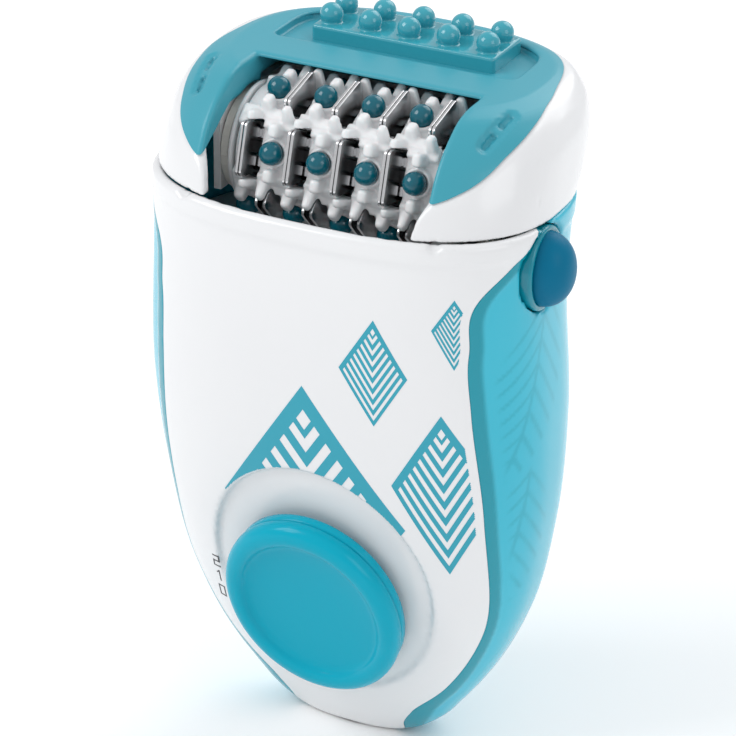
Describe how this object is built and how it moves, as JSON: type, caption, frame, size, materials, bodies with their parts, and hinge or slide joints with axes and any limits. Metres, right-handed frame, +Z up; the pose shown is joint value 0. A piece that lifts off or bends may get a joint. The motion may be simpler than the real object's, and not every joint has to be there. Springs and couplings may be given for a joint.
{
  "type": "epilator",
  "caption": "Corded hand-held epilator: tweezer roller under a lift-off head, massage bar, oval sliding switch and side release button.",
  "frame": {"origin": "centre of the bounding box at its bottom, the lowest point of the lower end", "axes": "+Z up towards the head, -Y out of the front face with the switch, +X to the side with the release button"},
  "size_m": [0.0708, 0.0524, 0.1178],
  "materials": {
    "white_shell": "satin-gloss moulded white",
    "turquoise_shell": "translucent-look turquoise gloss",
    "head_cover": "satin turquoise",
    "bead": "polished translucent",
    "button": "soft-touch blue",
    "plate_steel": "polished spring steel",
    "machine_steel": "plated",
    "natural_plastic": "acetal, natural",
    "black_plastic": "moulded",
    "board": "glass-epoxy",
    "red_wire": "PVC"
  },
  "bodies": {
    "housing": {"front_shell": "white_shell", "back_shell": "turquoise_shell", "top_deck": "white_shell", "chassis_plate": "natural_plastic", "gear_cover": "natural_plastic", "idler_axle": "machine_steel", "output_axle": "machine_steel", "motor_can": "machine_steel", "motor_end_cap": "black_plastic", "circuit_board": "board", "switch_contact_block": "black_plastic", "capacitor": "black_plastic", "motor_wire_red": "red_wire", "motor_wire_black": "black_plastic", "inlet_socket": "black_plastic", "inlet_pin": "machine_steel", "shell_screw_1": "machine_steel", "shell_screw_2": "machine_steel", "shell_screw_3": "machine_steel", "button_bezel": "turquoise_shell", "button_spring": "machine_steel"},
    "motor_rotor": {"motor_shaft": "machine_steel", "motor_pinion": "natural_plastic"},
    "idler": {"idler_gear": "natural_plastic"},
    "output": {"output_gear": "natural_plastic"},
    "switch": {"switch_knob": "turquoise_shell", "switch_slider": "black_plastic"},
    "release": {"release_button": "button", "latch_hook": "natural_plastic"},
    "head": {"head_collar": "white_shell", "head_cover": "head_cover", "head_frame": "white_shell", "cam_left": "natural_plastic", "cam_right": "natural_plastic"},
    "massage": {"massage_bar": "head_cover"},
    "roller": {"roller_core": "white_shell", "roller_flange_left": "white_shell", "roller_flange_right": "white_shell", "roller_axle": "machine_steel", "roller_gear": "natural_plastic", "bead_strip_1": "bead", "bead_strip_2": "bead", "bead_strip_3": "bead", "bead_strip_4": "bead", "bead_strip_5": "bead", "bead_strip_6": "bead", "fixed_comb_1": "plate_steel", "fixed_comb_2": "plate_steel", "fixed_comb_3": "plate_steel", "fixed_comb_4": "plate_steel", "fixed_comb_5": "plate_steel", "fixed_comb_6": "plate_steel"},
    "comb_1": {"moving_comb_1": "plate_steel"},
    "comb_2": {"moving_comb_2": "plate_steel"},
    "comb_3": {"moving_comb_3": "plate_steel"},
    "comb_4": {"moving_comb_4": "plate_steel"},
    "comb_5": {"moving_comb_5": "plate_steel"},
    "comb_6": {"moving_comb_6": "plate_steel"}
  },
  "joints": [
    {"name": "head_lift", "type": "slide", "parent": "housing", "child": "head", "axis": [0, 0, 1], "range_m": [0, 0.035]},
    {"name": "roller_spin", "type": "hinge", "parent": "head", "child": "roller", "pos_m": [-0.0016, -0.005, 0.1], "axis": [1, 0, 0], "continuous": true},
    {"name": "output_spin", "type": "hinge", "parent": "housing", "child": "output", "pos_m": [0.0214, -0.005, 0.085], "axis": [1, 0, 0], "continuous": true},
    {"name": "idler_spin", "type": "hinge", "parent": "housing", "child": "idler", "pos_m": [0.0204, -0.005, 0.0742], "axis": [1, 0, 0], "continuous": true},
    {"name": "motor_spin", "type": "hinge", "parent": "housing", "child": "motor_rotor", "pos_m": [0.0184, -0.005, 0.0622], "axis": [1, 0, 0], "continuous": true},
    {"name": "switch_slide", "type": "slide", "parent": "housing", "child": "switch", "axis": [0, -0.2588, 0.9659], "range_m": [0, 0.0055]},
    {"name": "release_press", "type": "slide", "parent": "housing", "child": "release", "axis": [-1, 0, 0], "range_m": [0, 0.0015], "stiffness_N_per_m": 600, "springref_m": -0.002, "deforming": ["button_spring"]},
    {"name": "massage_sway", "type": "slide", "parent": "head", "child": "massage", "axis": [1, 0, 0], "range_m": [-0.0015, 0.0015]},
    {"name": "comb_1_close", "type": "slide", "parent": "roller", "child": "comb_1", "axis": [1, 0, 0], "range_m": [0, 0.0007]},
    {"name": "comb_2_close", "type": "slide", "parent": "roller", "child": "comb_2", "axis": [1, 0, 0], "range_m": [0, 0.0007]},
    {"name": "comb_3_close", "type": "slide", "parent": "roller", "child": "comb_3", "axis": [1, 0, 0], "range_m": [-0.0007, 0]},
    {"name": "comb_4_close", "type": "slide", "parent": "roller", "child": "comb_4", "axis": [1, 0, 0], "range_m": [-0.0007, 0]},
    {"name": "comb_5_close", "type": "slide", "parent": "roller", "child": "comb_5", "axis": [1, 0, 0], "range_m": [-0.0007, 0]},
    {"name": "comb_6_close", "type": "slide", "parent": "roller", "child": "comb_6", "axis": [1, 0, 0], "range_m": [-0.0007, 0]}
  ],
  "couplings": [
    {"joint": "output_spin", "follows": "roller_spin", "ratio": -1.0833},
    {"joint": "idler_spin", "follows": "roller_spin", "ratio": 2.1667},
    {"joint": "motor_spin", "follows": "roller_spin", "ratio": -6.5}
  ]
}
